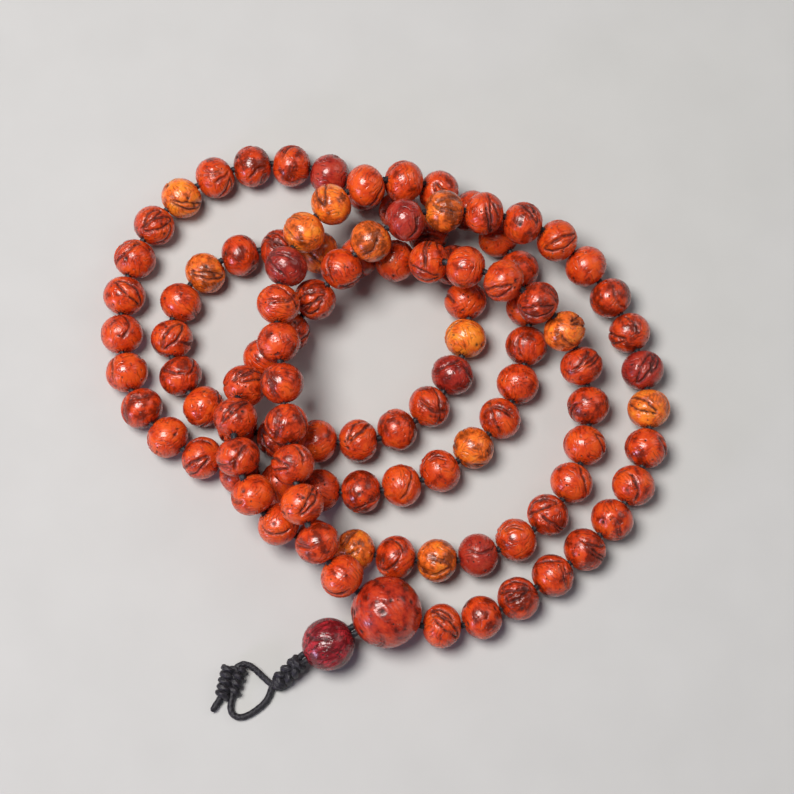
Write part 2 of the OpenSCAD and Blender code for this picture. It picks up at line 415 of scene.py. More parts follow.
def seed_grooves_group():
    """Groove, bank and ripple masks from the distances that mark_lines gives, wobbling a little and uneven in
    depth; they carve the grooves' relief and place their painted shade.
    """
    name = "seed_grooves"
    if name in bpy.data.node_groups:
        return bpy.data.node_groups[name]
    vectors = tuple((label, "Vector", None) for label in ("Place", "Lines A", "Lines B", "Lines C"))
    inputs = (*vectors, ("Width", "Float", 0.08))
    group, net, inside, outside = new_group(name, inputs, ("Groove", "Bank", "Ripples"))

    def fading(gap, near, far):
        """One where the gap is near and nothing where it is far."""
        return net.add(
            "ShaderNodeMapRange", interpolation_type="SMOOTHSTEP",
            in_Value=gap, in_From_Min=near, in_From_Max=far, in_To_Min=1.0, in_To_Max=0.0,
        ).outputs["Result"]

    def deeper(a, b):
        return b if a is None else net.maths("MAXIMUM", a, b)

    lines = [
        net.add("ShaderNodeSeparateXYZ", in_Vector=inside.outputs[f"Lines {letter}"]).outputs
        for letter in "ABC"
    ]
    wobble = net.add("ShaderNodeTexNoise", in_Vector=inside.outputs["Place"], in_Scale=1.1, in_Detail=3.0)
    shift = net.maths("MULTIPLY_ADD", wobble.outputs["Fac"], 0.11, -0.055)
    uneven = net.ramp(wobble.outputs["Fac"], (0.36, 0.45), (0.56, 1.0))

    wide = net.maths("MULTIPLY", inside.outputs["Width"], 3.2)
    for output, reach in (("Groove", inside.outputs["Width"]), ("Bank", wide)):
        deepest = None
        for line in lines:
            for axis in ("X", "Y"):
                gap = net.maths("ABSOLUTE", net.maths("ADD", line[axis], shift))
                deepest = deeper(deepest, net.maths("MULTIPLY", fading(gap, 0.0, reach), line["Z"]))
        net.feed(net.maths("MULTIPLY", deepest, uneven, clamp=True), outside.inputs[output])

    ripples = None
    for line in lines:
        gap = net.maths("ABSOLUTE", net.maths("MULTIPLY_ADD", shift, 1.5, line["X"]))
        wave = net.maths("SINE", net.maths("MULTIPLY", gap, 34.0))
        crest = net.maths("MULTIPLY", wave, line["Z"], clamp=True)
        ripples = deeper(ripples, net.maths("MULTIPLY", crest, fading(gap, 0.10, 0.62)))
    net.feed(net.maths("MULTIPLY", ripples, uneven), outside.inputs["Ripples"])
    return group


def lacquered_seed(
    name, colour, dark=0.30, light=(1.25, 2.0, 1.5),
    wrinkle_scale=0.36, wrinkled=0.5, gloss=0.28, streaks=False,
):
    """A polished seed under clear lacquer, with painted shade in its grooves and on their banks, in its
    wrinkles, ripples, pits and hollows, and round its holes' rims. Its mottling goes from dark to light times
    its colour."""
    material, net, shader = new_material(name)
    glow = tuple(min(1.0, c * s) for c, s in zip(colour, light))

    def shaded(share):
        return tuple(c * share for c in colour)

    def attribute(name, output):
        return net.add("ShaderNodeAttribute", attribute_name=name).outputs[output]

    place, hollow = attribute("seed_place", "Vector"), attribute("hollow", "Fac")
    grooves = net.add("ShaderNodeGroup", node_tree=seed_grooves_group(), in_Place=place)
    for letter in "ABC":
        net.feed(attribute(f"lines_{letter.lower()}", "Vector"), grooves.inputs[f"Lines {letter}"])
    groove, bank, ripples = (grooves.outputs[label] for label in ("Groove", "Bank", "Ripples"))
    grain = net.add(
        "ShaderNodeGroup", node_tree=seed_grain_group(), in_Place=place, in_Wrinkle_Scale=wrinkle_scale
    )
    wrinkles, pits, mottle = (grain.outputs[label] for label in ("Wrinkles", "Pits", "Mottle"))

    tone = net.maths("ADD", mottle, attribute("tone", "Fac"))
    skin = net.ramp(tone, (0.36, shaded(dark)), (0.48, shaded(1)), (0.64, glow))
    if streaks:
        stretched = net.add("ShaderNodeMapping", in_Vector=place, in_Scale=(1.5, 1.5, 0.10))
        veins = net.add(
            "ShaderNodeTexNoise", in_Vector=stretched.outputs["Vector"],
            in_Scale=1.0, in_Detail=3.0, in_Distortion=0.6,
        )
        skin = net.mixed(net.ramp(veins.outputs["Fac"], (0.42, 0.0), (0.56, 1.0)), shaded(0.38), skin)
    # Painted shade on the grooves' banks
    skin = net.mixed(net.maths("MULTIPLY", bank, 0.55), skin, shaded(0.45))
    # Painted shade in the creases of the wrinkles and ripples; the same mask also feeds the bump below
    wrinkle_creases = net.maths("MULTIPLY", net.maths("MAXIMUM", wrinkles, ripples), wrinkled)
    skin = net.mixed(wrinkle_creases, skin, shaded(0.20))
    # Painted shade in the small pits
    skin = net.mixed(net.maths("MULTIPLY", pits, 0.9), skin, PIT_SHADE_COLOUR)
    # Painted shade in the pits, wrinkle patches, hole rims and drilled holes that the hollow attribute marks
    skin = net.mixed(net.ramp(hollow, (0.15, 0.0), (0.85, 0.92)), skin, PIT_SHADE_COLOUR)
    # Painted shade in the grooves
    skin = net.mixed(net.maths("MULTIPLY", groove, 0.88), skin, GROOVE_SHADE_COLOUR)
    net.feed(skin, shader.inputs["Base Color"])

    cut = net.maths("MAXIMUM", groove, net.maths("MAXIMUM", hollow, pits))
    skin_rough = net.maths("MULTIPLY_ADD", mottle, 0.22, 0.14)
    net.feed(net.maths("MULTIPLY_ADD", cut, 0.5, skin_rough), shader.inputs["Roughness"])
    net.feed(net.maths("MULTIPLY_ADD", cut, -gloss, gloss), shader.inputs["Coat Weight"])
    fine = net.maths("ADD", net.maths("ADD", wrinkle_creases, pits), groove)
    relief = net.maths("MULTIPLY_ADD", bank, 0.8, fine)
    bump = net.add("ShaderNodeBump", invert=True, in_Strength=0.9, in_Distance=0.2 * MM, in_Height=relief)
    net.feed(bump.outputs["Normal"], shader.inputs["Normal"])
    shader.inputs["Coat Roughness"].default_value = 0.10
    shader.inputs["Coat IOR"].default_value = 1.45
    shader.inputs["Specular IOR Level"].default_value = 0.55
    return material


def braided_cord(name):
    """Black braided cord: two crossing sets of thin yarns with a soft sheen."""
    material, net, shader = new_material(name)
    uv = net.add("ShaderNodeUVMap", uv_map="UVMap").outputs["UV"]
    across, along = net.add("ShaderNodeSeparateXYZ", in_Vector=uv).outputs[:2]
    turns = YARNS_ROUND * math.tau
    yarns = []
    for way in (1, -1):
        phase = net.maths("MULTIPLY_ADD", across, turns, net.maths("MULTIPLY", along, turns * way))
        yarns.append(net.maths("SINE", phase))
    # Painted shade in the valleys between the yarns and painted light on their crowns, following the braid's
    # relief
    height = net.ramp(net.maths("MAXIMUM", *yarns), (0.0, 0.0), (1.0, 1.0))
    low, high, worn = (tuple(c * share for c in colours().cord) for share in (0.35, 2.1, 3))
    spot = net.add("ShaderNodeTexCoord").outputs["Object"]
    fuzz = net.add("ShaderNodeTexNoise", in_Vector=spot, in_Scale=3000.0, in_Detail=3.0)
    fuzzy = net.maths("MULTIPLY", fuzz.outputs["Fac"], 0.4)
    net.feed(net.mixed(fuzzy, net.mixed(height, low, high), worn), shader.inputs["Base Color"])
    bump = net.add("ShaderNodeBump", in_Strength=0.7, in_Distance=0.1 * MM, in_Height=height)
    net.feed(bump.outputs["Normal"], shader.inputs["Normal"])
    shader.inputs["Roughness"].default_value = 0.52
    shader.inputs["Sheen Weight"].default_value = 0.08
    shader.inputs["Sheen Roughness"].default_value = 0.4
    return material


def once(name, make, *values, **named):
    """The material of that name, made the first time it is asked for."""
    return bpy.data.materials.get(name) or make(name, *values, **named)


def cord_material():
    return once("black_braided_cord", braided_cord)


# ---------------------------------------------------------------- meshes


def deselect_all():
    if bpy.context.mode != "OBJECT":
        bpy.ops.object.mode_set(mode="OBJECT")
    bpy.ops.object.select_all(action="DESELECT")


def finish_piece(piece, name, material, angle=60):
    """Names a piece, gives it its material and smooths it."""
    piece.name = name
    piece.data.name = name
    piece.data.materials.clear()
    piece.data.materials.append(material)
    deselect_all()
    piece.select_set(True)
    bpy.context.view_layer.objects.active = piece
    bpy.ops.object.shade_smooth_by_angle(angle=math.radians(angle))
    return piece


def points_of(piece):
    co = np.empty(len(piece.data.vertices) * 3)
    piece.data.vertices.foreach_get("co", co)
    return co.reshape(-1, 3)


def set_points(piece, co):
    piece.data.vertices.foreach_set("co", np.ascontiguousarray(co, np.float32).ravel())
    piece.data.update()


def set_attribute(piece, name, values):
    """A value, or a vector, for each point of a piece."""
    values = np.asarray(values, np.float32)
    kind, key = ("FLOAT_VECTOR", "vector") if values.ndim == 2 else ("FLOAT", "value")
    old = piece.data.attributes.get(name)
    attribute = old or piece.data.attributes.new(name, kind, "POINT")
    attribute.data.foreach_set(key, values.ravel())


def drilled_ball(radius, crown, hole, segments, rings):
    """A ball with a hole along Z: a sphere whose ends are opened and joined by a bore. Its sides are arcs of
    the radius, whose middle stands off the axis by crown."""
    deselect_all()
    bpy.ops.mesh.primitive_uv_sphere_add(segments=segments, ring_count=rings, radius=1)
    ball = bpy.context.active_object
    bpy.ops.object.mode_set(mode="EDIT")
    bpy.ops.mesh.select_all(action="DESELECT")
    bpy.ops.object.mode_set(mode="OBJECT")
    for vertex in ball.data.vertices:
        vertex.select = math.hypot(vertex.co.x, vertex.co.y) < 1e-4
    bpy.ops.object.mode_set(mode="EDIT")
    bpy.ops.mesh.select_mode(type="VERT")
    bpy.ops.mesh.delete(type="VERT")
    bpy.ops.mesh.select_all(action="DESELECT")
    bpy.ops.mesh.select_non_manifold()
    bpy.ops.mesh.bridge_edge_loops()
    bpy.ops.mesh.select_all(action="SELECT")
    bpy.ops.mesh.normals_make_consistent(inside=False)
    bpy.ops.object.mode_set(mode="OBJECT")
    co = points_of(ball)
    latitude = np.arcsin(np.clip(co[:, 2], -1, 1))
    around = np.arctan2(co[:, 1], co[:, 0])
    edge = math.acos((hole - crown) / radius)
    latitude *= edge / np.abs(latitude).max()
    return ball, latitude, around


def arc_points(latitude, around, radius, crown):
    """Places and outward ways on a ball at these latitudes and angles."""
    out = np.stack([np.cos(around), np.sin(around), np.zeros_like(around)], 1)
    way = np.cos(latitude)[:, None] * out + np.sin(latitude)[:, None] * np.array((0, 0, 1.0))
    return crown * out + radius * way, way


def soft_step(x, low, high):
    t = np.clip((x - low) / (high - low), 0, 1)
    return t * t * (3 - 2 * t)


def furrow(distance, width):
    """A groove's depth across it, from 0 to 1: a sharp bottom and rounded shoulders."""
    return np.exp(-np.abs(distance / width) ** 1.4)


def side_ways(rng, lean, tilt):
    """A random place on a bead's side, and the ways along and across a line that leans there."""
    turn = rng.uniform(0, math.tau)
    middle = unit((math.cos(turn), math.sin(turn), tilt))
    across = unit(np.cross((0, 0, 1), middle))
    along = math.cos(lean) * np.cross(middle, across) + math.sin(lean) * across
    return middle, along, np.cross(along, middle)


def eye_lines(way, rng, size=1.0):
    """Two grooves that bow apart and meet at both ends, like an eyelid's edges. Each point gets its distance
    from the one and from the other, as a share of the bead's radius, and the grooves' strength there."""
    middle, along, side = side_ways(rng, rng.uniform(-0.9, 0.9), rng.uniform(-0.15, 0.15))
    s, u = way @ along / (0.92 * size), way @ side
    bow, wave = rng.uniform(0.18, 0.36) * size, 0.02 * np.sin(9 * s + rng.uniform(0, math.tau))
    fade = soft_step(1 - np.abs(s), 0.0, 0.14) * soft_step(way @ middle, 0.0, 0.25)
    lid, lean = bow * (1 - s**2), rng.uniform(-0.06, 0.06) * s
    return np.stack([u - lid - lean - wave, u + lid * rng.uniform(0.4, 1.0) - lean + wave, fade], 1)


def curved_line(way, rng, twin=False):
    """One groove that curves over a side of the seed, or two side by side, given as eye_lines gives them."""
    middle, along, side = side_ways(rng, rng.uniform(-1.3, 1.3), rng.uniform(-0.4, 0.4))
    s, u = way @ along, way @ side
    line = u - rng.uniform(-0.5, 0.5) * s**2 - 0.025 * np.sin(8 * s + rng.uniform(0, math.tau))
    reach = rng.uniform(0.6, 1.0)
    fade = soft_step(reach - np.abs(s), 0.0, 0.25) * soft_step(way @ middle, 0.05, 0.3)
    gap = rng.uniform(0.09, 0.16) * (1 - 0.8 * s) if twin else NO_GROOVE[1]
    return np.stack([line, line + gap, fade * rng.uniform(0.6, 1.0)], 1)


def none_at(way):
    """No groove at all, given as eye_lines gives one."""
    return np.tile(NO_GROOVE, (len(way), 1))


def wrinkle_patch(way, rng):
    """A patch of shallow wrinkles side by side."""
    middle = unit([rng.gauss(0, 1) for _ in range(3)])
    across = unit(np.cross(middle, [rng.gauss(0, 1) for _ in range(3)]))
    along = np.cross(middle, across)
    close = soft_step(way @ middle, 0.62, 0.9)
    wave = np.sin(rng.uniform(26, 38) * (way @ across + rng.uniform(-0.3, 0.3) * (way @ along) ** 2))
    return close * (0.5 + 0.5 * wave) ** 2


def pit(way, rng):
    middle = unit([rng.gauss(0, 1) for _ in range(3)])
    gap = np.linalg.norm(way - middle, axis=1)
    return np.exp(-((gap / rng.uniform(0.055, 0.10)) ** 2))


def seed_depths(latitude, around, way, rng, bead, lines, pits=6, wrinkles=6):
    """How deep each point of a seed is cut, in millimetres, and how much painted shade its pits, wrinkles and
    hole rims get.
    """
    groove = np.zeros(len(way))
    for line in lines:
        cut = np.maximum(furrow(line[:, 0], 0.06), furrow(line[:, 1], 0.06))
        groove = np.maximum(groove, cut * line[:, 2])
    fine = np.zeros(len(way))
    for _ in range(wrinkles):
        fine = np.maximum(fine, wrinkle_patch(way, rng))
    holes = np.zeros(len(way))
    for _ in range(pits):
        holes = np.maximum(holes, pit(way, rng))
    lumps = np.zeros(len(way))
    for _ in range(4):
        direction = np.array([rng.gauss(0, 1) for _ in range(3)]) * 2.3
        lumps += 0.5 + 0.5 * np.sin(way @ direction + rng.uniform(0, math.tau))
    rim = soft_step(np.abs(latitude), 1.12, 1.45)
    count, start = rng.randint(8, 12), rng.uniform(0, math.tau)
    crimps = 0.5 + 0.5 * np.sin(count * around + start + 2 * np.sign(latitude))
    depth = bead * groove + 0.08 * fine + 0.30 * holes + 0.05 * lumps + rim * 0.16 * crimps**2
    # The second value is painted shade: darkening of the pits, the wrinkle patches and the crimped rims by
    # the holes, where beads meet
    return depth, np.clip(0.25 * fine + 0.95 * holes + 0.8 * rim * crimps**3, 0, 1)


def mark_lines(piece, lines):
    """Gives a piece's points their distances from the grooves, in the attributes that its material reads."""
    for name, line in zip(("lines_a", "lines_b", "lines_c"), lines):
        set_attribute(piece, name, line)


# ---------------------------------------------------------------- cords


def cord_piece(name, path, radius, sides=12, relief=0.06, domed=True):
    """A cord along a path of even steps, in millimetres, with the low relief of its braid."""
    path = np.asarray(path, float)
    ways = np.gradient(path, axis=0)
    ways /= np.linalg.norm(ways, axis=1)[:, None]
    side = unit(np.cross(ways[0], (0, 0, 1) if abs(ways[0][2]) < 0.9 else (1, 0, 0)))
    run = walked(path)
    angles = np.arange(sides) * math.tau / sides
    rings, places = [], []
    for centre, way, s in zip(path, ways, run):
        side = unit(side - way * (side @ way))
        up = np.cross(way, side)
        braid = np.maximum(*(np.cos(BRAID_STRANDS * angles + turn * BRAID_LAY * s) for turn in (1, -1)))
        reach = radius * (1 - relief * (1 - braid))[:, None]
        rings.append(centre + reach * (np.cos(angles)[:, None] * side + np.sin(angles)[:, None] * up))
        places.append(s)
    if domed:
        for angle in (0.5, 1.0, 1.35):
            for end in (0, -1):
                centre = path[end] + (-1 if end == 0 else 1) * radius * math.sin(angle) * ways[end]
                base = rings[0] if end == 0 else rings[-1]
                middle = base.mean(0)
                ring = centre + (base - middle) * math.cos(angle) / max(math.cos(angle - 0.42), 0.3)
                if end == 0:
                    rings.insert(0, ring)
                    places.insert(0, places[0] - 0.2)
                else:
                    rings.append(ring)
                    places.append(places[-1] + 0.2)
    count = len(rings)
    faces = [
        (i * sides + k, i * sides + (k + 1) % sides, (i + 1) * sides + (k + 1) % sides, (i + 1) * sides + k)
        for i in range(count - 1)
        for k in range(sides)
    ]
    faces.append(tuple(range(sides - 1, -1, -1)))
    faces.append(tuple(range((count - 1) * sides, count * sides)))
    mesh = bpy.data.meshes.new(name)
    mesh.from_pydata([tuple(p * MM) for ring in rings for p in ring], [], faces)
    layer = mesh.uv_layers.new(name="UVMap")
    round_length = math.tau * radius
    for face in mesh.polygons:
        corners = [divmod(vertex, sides) for vertex in face.vertices]
        closes = len(corners) == 4 and any(k == sides - 1 for ring, k in corners)
        for loop, (ring, k) in zip(face.loop_indices, corners):
            u = 1.0 if k == 0 and closes else k / sides
            layer.data[loop].uv = (u, places[ring] / round_length)
    piece = bpy.data.objects.new(name, mesh)
    bpy.context.scene.collection.objects.link(piece)
    deselect_all()
    bpy.context.view_layer.objects.active = piece
    piece.select_set(True)
    bpy.ops.object.mode_set(mode="EDIT")
    bpy.ops.mesh.select_all(action="SELECT")
    bpy.ops.mesh.normals_make_consistent(inside=False)
    bpy.ops.object.mode_set(mode="OBJECT")
    return finish_piece(piece, name, cord_material())


def joined(pieces, name):
    deselect_all()
    for piece in pieces:
        piece.select_set(True)
    bpy.context.view_layer.objects.active = pieces[0]
    if len(pieces) > 1:
        bpy.ops.object.join()
    pieces[0].name = name
    pieces[0].data.name = name
    return pieces[0]


def helix(start, end, radius, turns, phase=0.0, step=0.18):
    """A coil round the line from start to end."""
    start, end = np.asarray(start, float), np.asarray(end, float)
    way = unit(end - start)
    side = unit(np.cross(way, (0, 0, 1)))
    up = np.cross(side, way)
    count = max(12, round(turns * math.tau * radius / step))
    t = np.linspace(0, 1, count)[:, None]
    angle = phase + math.tau * turns * t
    return start + (end - start) * t + radius * (np.cos(angle) * side + np.sin(angle) * up)


# ---------------------------------------------------------------- operators


class MALA_OT_seed_beads(bpy.types.Operator):
    """Model the seeds, and thread a copy of one on each place of the strand"""

    bl_idname = "mala.seed_beads"
    bl_label = "Seed Beads"

    def shape(self, number):
        """One seed, modelled on its own axis in metres."""
        rng = random.Random(random_start() * 100 + number)
        radius = millimetres("bead_length") / 2
        crown = millimetres("bead_diameter") / 2 - radius
        ball, latitude, around = drilled_ball(radius, crown, SEED_HOLE_RADIUS, 80, 48)
        place, way = arc_points(latitude, around, radius, crown)
        lines = [
            eye_lines(way, rng) if number % 3 else curved_line(way, rng, twin=True),
            eye_lines(way, rng, 0.8) if number % 4 == 1 else curved_line(way, rng, twin=number % 2 == 0),
            curved_line(way, rng),
        ]
        pits, wrinkles = rng.randint(2, 6), rng.randint(4, 8)
        depth, dark = seed_depths(
            latitude, around, way, rng, millimetres("groove_depth"), lines, pits, wrinkles
        )
        set_points(ball, (place - depth[:, None] * way) * MM)
        # The hollow attribute places painted shade in the pits, wrinkles and hole rims
        set_attribute(ball, "hollow", dark)
        mark_lines(ball, lines)
        return finish_piece(ball, f"seed_shape_{number}", self.material(0))

    def material(self, k):
        tint = colours()
        if k in AMBER_BEADS:
            return once("amber_lacquered_seed", lacquered_seed, tint.amber)
        if k in DARK_BEADS:
            return once("dark_lacquered_seed", lacquered_seed, tint.dark_red, dark=0.45)
        return once("orange_lacquered_seed", lacquered_seed, tint.orange_red)

    def bead(self, k, shapes, rng):
        """A copy of a seed at bead k's place, with a turn, a shade and a grain of its own."""
        source = shapes[rng.randrange(len(shapes))]
        piece = source.copy()
        piece.data = source.data.copy()
        bpy.context.scene.collection.objects.link(piece)
        own = points_of(piece) / MM + [rng.uniform(-90, 90) for _ in range(3)]
        set_attribute(piece, "seed_place", own)
        set_attribute(piece, "tone", np.full(len(own), rng.uniform(-0.07, 0.07)))
        if rng.random() < 0.5:
            piece.data.transform(Matrix.Rotation(math.pi, 4, "X"))
        self.fill_room(piece, k)
        piece.data.transform(bead_matrix(k, rng.uniform(0, math.tau)))
        piece.data.materials[0] = self.material(k)
        piece.name = f"seed_{k:03d}"
        return piece

    def fill_room(self, piece, k):
        """Draws the seed's ends out until they nearly meet the beads on both sides."""
        points = points_of(piece)
        far = np.abs(points[:, 2]) / (millimetres("bead_length") / 2 * MM)
        room = np.where(points[:, 2] < 0, room_after(k - 1), room_after(k))
        points[:, 2] += np.sign(points[:, 2]) * np.maximum(room - SEED_TO_SEED, 0) * 0.45 * far**3 * MM
        set_points(piece, points)

    def execute(self, context):
        shapes = [self.shape(number) for number in range(SHAPE_COUNT)]
        rng = random.Random(random_start())
        beads = {k: self.bead(k, shapes, rng) for k in range(1, BEAD_COUNT + 1)}
        for shape in shapes:
            bpy.data.objects.remove(shape)
        for node in sorted(frame["nodes"]):
            words = node.split("_")
            if words[0] == "bead":
                piece, body = beads[int(words[1])], node
            elif words[0] == "beads":
                group = [beads[k] for k in range(int(words[1]), int(words[2]) + 1)]
                piece, body = joined(group, f"seeds_{words[1]}_{words[2]}"), "root"
            else:
                continue
            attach(piece, body)
            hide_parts(node)
        return {"FINISHED"}


class MALA_OT_guru_bead(bpy.types.Operator):
    """Model the large guru bead with the holes for the strand's ends and for the tail"""

    bl_idname = "mala.guru_bead"
    bl_label = "Guru Bead"

    def hole(self, guru, way, radius):
        """Drills a hole from the middle of the bead out along a way."""
        deselect_all()
        length = 1.5 * GURU_RADIUS * MM
        bpy.ops.mesh.primitive_cylinder_add(vertices=40, radius=radius * MM, depth=length)
        drill = bpy.context.active_object
        drill.data.transform(Matrix.Translation((0, 0, length / 2)))
        drill.data.transform(Matrix.Translation(Vector(GURU * MM)) @ facing(way))
        deselect_all()
        bpy.context.view_layer.objects.active = guru
        guru.select_set(True)
        cut = guru.modifiers.new("hole", "BOOLEAN")
        cut.object = drill
        cut.operation = "DIFFERENCE"
        cut.solver = "EXACT"
        bpy.ops.object.modifier_apply(modifier=cut.name)
        bpy.data.objects.remove(drill)

    def execute(self, context):
        rng = random.Random(random_start() + 31)
        deselect_all()
        bpy.ops.mesh.primitive_uv_sphere_add(segments=144, ring_count=84, radius=GURU_RADIUS * MM)
        guru = bpy.context.active_object
        guru.data.transform(Matrix.Translation(Vector(GURU * MM)) @ Matrix.Rotation(0.9, 4, "Y"))
        self.hole(guru, TAIL_WAY, TAIL_HOLE_RADIUS)
        self.hole(guru, BENDS[0] - GURU, CORD_HOLE_RADIUS)
        self.hole(guru, BENDS[-1] - GURU, CORD_HOLE_RADIUS)
        away = points_of(guru) / MM - GURU
        reach = np.linalg.norm(away, axis=1)
        way = away / np.maximum(reach, 1e-6)[:, None]
        outside = reach > GURU_RADIUS - 0.05
        flat = np.zeros(len(way))
        lines = [curved_line(way, rng, twin=True), curved_line(way, rng), eye_lines(way, rng, 0.45)]
        depth, dark = seed_depths(flat, flat, way, rng, 0.28, lines, pits=16, wrinkles=5)
        away -= (depth * outside)[:, None] * way
        set_points(guru, (GURU + away) * MM)
        # Painted shade in the pits and wrinkles outside, and inside the drilled holes
        set_attribute(guru, "hollow", np.where(outside, dark, 0.7))
        mark_lines(guru, [np.where(outside[:, None], line, NO_GROOVE) for line in lines])
        set_attribute(guru, "tone", np.zeros(len(way)))
        set_attribute(guru, "seed_place", away)
        material = once(
            "lacquered_guru", lacquered_seed, colours().guru,
            light=(1.45, 2.3, 1.6), wrinkle_scale=0.3, wrinkled=0.22,
        )
        finish_piece(guru, "guru_seed", material)
        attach(guru, "root")
        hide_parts("guru_bead")
        return {"FINISHED"}


class MALA_OT_tower_bead(bpy.types.Operator):
    """Model the maroon tower bead, streaked from hole to hole"""

    bl_idname = "mala.tower_bead"
    bl_label = "Tower Bead"

    def execute(self, context):
        rng = random.Random(random_start() + 57)
        tower, latitude, around = drilled_ball(TOWER_RADIUS, 0.0, TAIL_HOLE_RADIUS, 112, 64)
        place, way = arc_points(latitude, around, TOWER_RADIUS, 0.0)
        lines = [curved_line(way, rng), curved_line(way, rng), none_at(way)]
        depth, dark = seed_depths(latitude * 0.9, around, way, rng, 0.16, lines, pits=3, wrinkles=2)
        ribs = 0.5 + 0.5 * np.sin(17 * around + 1.5 * np.sin(2 * latitude) + 0.8 * np.sin(3 * around))
        depth += 0.05 * ribs
        place -= depth[:, None] * way
        set_points(tower, place * MM)
        # Painted shade, lighter than on the seeds, in the tower's pits, wrinkles and hole rims
        set_attribute(tower, "hollow", dark * 0.6)
        mark_lines(tower, lines)
        set_attribute(tower, "tone", np.zeros(len(way)))
        set_attribute(tower, "seed_place", place)
        tower.data.transform(Matrix.Translation(Vector(TOWER * MM)) @ facing(TAIL_WAY, 0.6))
        material = once(
            "lacquered_tower", lacquered_seed, colours().tower,
            dark=0.5, light=(1.6, 1.5, 1.6), gloss=0.14, streaks=True,
        )
        finish_piece(tower, "tower_seed", material)
        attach(tower, "tower")
        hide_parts("tower_bead")
        return {"FINISHED"}


class MALA_OT_strand_cord(bpy.types.Operator):
    """Run the black cord through every bead of the strand and into the guru bead"""

    bl_idname = "mala.strand_cord"
    bl_label = "Strand Cord"

    def execute(self, context):
        radius = millimetres("cord_diameter") / 2
        side = (radius + PAIR_GAP / 2) * TAIL_SIDE
        last = GURU + (GURU_RADIUS - 0.35) * TAIL_WAY
        turn = GURU + 1.2 * TAIL_WAY
        into = GURU + 1.6 * unit(BENDS[-1] - GURU)
        points = np.vstack([last + side, turn + side, BENDS, into, turn - side, last - side])
        path = even_path(points, 0.42, rounding=1)
        piece = cord_piece("strand_cord_braided", path, radius, 10, 0.05, domed=False)
        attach(piece, "root")
        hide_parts("strand_cord")
        return {"FINISHED"}


class MALA_OT_tail_cords(bpy.types.Operator):
    """Run the pair of cords from the guru bead through the tower bead to the stopper knot"""

    bl_idname = "mala.tail_cords"
    bl_label = "Tail Cords"

    def pair(self, name, points):
        """Two cords side by side along a line."""
        radius = millimetres("cord_diameter") / 2
        side = (radius + PAIR_GAP / 2) * TAIL_SIDE
        paths = [even_path(points + way * side, 0.25, rounding=2) for way in (-1, 1)]
        return joined([cord_piece(f"{name}_{i}", path, radius, 14) for i, path in enumerate(paths)], name)

    def execute(self, context):
        inner = self.pair("tail_cord_inner", np.array([GURU + 6.4 * TAIL_WAY, TOWER + 0.2 * TAIL_WAY]))
        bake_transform(inner)
        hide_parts("tail_cord")
        line = [TOWER + 0.6 * TAIL_WAY, SWING_PIVOT - 0.3 * TAIL_WAY, SWING_PIVOT + 1.9 * KNOT_WAY]
        outer = self.pair("tail_cord_outer", np.array(line))
        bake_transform(outer)
        return {"FINISHED"}


class MALA_OT_stopper_knot(bpy.types.Operator):
    """Plait the stopper knot that holds the tower bead"""

    bl_idname = "mala.stopper_knot"
    bl_label = "Stopper Knot"

    def execute(self, context):
        strand, width, thickness, lay = 0.86, 1.40, 0.92, 6.6
        start, end = KNOT_START + 0.75 * KNOT_WAY, KNOT_END - 0.75 * KNOT_WAY
        up = np.cross(KNOT_SIDE, KNOT_WAY)
        length = np.linalg.norm(end - start)
        t = np.linspace(0, 1, 90)[:, None]
        pieces = []
        for number in range(3):
            angle = math.tau * (t * length / lay + number / 3)
            draw_in = 1 - 0.45 * soft_step(np.abs(2 * t - 1), 0.72, 1.0)
            line = start + (end - start) * t
            line = line + draw_in * (width * np.sin(angle) * KNOT_SIDE + thickness * np.sin(2 * angle) * up)
            pieces.append(cord_piece(f"plait_{number}", even_path(line, 0.2), strand, 14))
        near = helix(start - 0.15 * KNOT_WAY, start + 0.9 * KNOT_WAY, 1.35, 1.25)
        far = helix(end - 0.9 * KNOT_WAY, end + 0.1 * KNOT_WAY, 1.3, 1.25, phase=1.0)
        pieces += [cord_piece("near_wrap", near, 0.72, 12), cord_piece("far_wrap", far, 0.72, 12)]
        knot = joined(pieces, "stopper_knot")
        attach(knot, "knot")
        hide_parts("tail_knot")
        return {"FINISHED"}


class MALA_OT_tail_loop(bpy.types.Operator):
    """Lay the tail's free loop of cord and tie its end knot"""

    bl_idname = "mala.tail_loop"
    bl_label = "Tail Loop and End Knot"

    def end_knot(self):
        """Two coiled lobes side by side, and the cut end that sticks out of the larger one."""
        radius = millimetres("cord_diameter") / 2
        (a, b), (c, d), (e, f) = (np.array(pair) - ROUTE_MIDDLE for pair in (LARGE_LOBE, SMALL_LOBE, CUT_END))
        large = helix(a - 0.9 * unit(b - a), b + 0.7 * unit(b - a), 1.0, 4.6)
        small = helix(c - 0.8 * unit(d - c), d + 0.4 * unit(d - c), 0.86, 3.4, phase=2.0)
        bridge = smooth_curve([a - 0.3 * unit(b - a), (a + c) / 2 + (0.2, 1.1, 0.3), c - 0.2 * unit(d - c)])
        cut = smooth_curve([b, e, (e + f) / 2, f])
        lines = (("large_lobe", large), ("small_lobe", small), ("bridge", bridge), ("cut_end", cut))
        pieces = [cord_piece(name, even_path(line, 0.2), radius, 14) for name, line in lines]
        return joined(pieces, "end_knot_coiled")

    def execute(self, context):
        radius = millimetres("cord_diameter") / 2
        side = (radius + 0.08) * KNOT_SIDE
        inside = LOOP_PIVOT - 1.5 * KNOT_WAY
        free = [np.array(p) - ROUTE_MIDDLE for p in LOOP_ROUTE]
        points = [inside + side, LOOP_PIVOT + side, *free, LOOP_PIVOT - side, inside - side]
        path = even_path(smooth_curve(points), 0.22)
        loop = cord_piece("tail_loop_cord", path, radius, 16, domed=False)
        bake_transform(loop)
        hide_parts("tail_loop")
        knot = self.end_knot()
        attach(knot, "loop")
        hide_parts("end_knot")
        return {"FINISHED"}


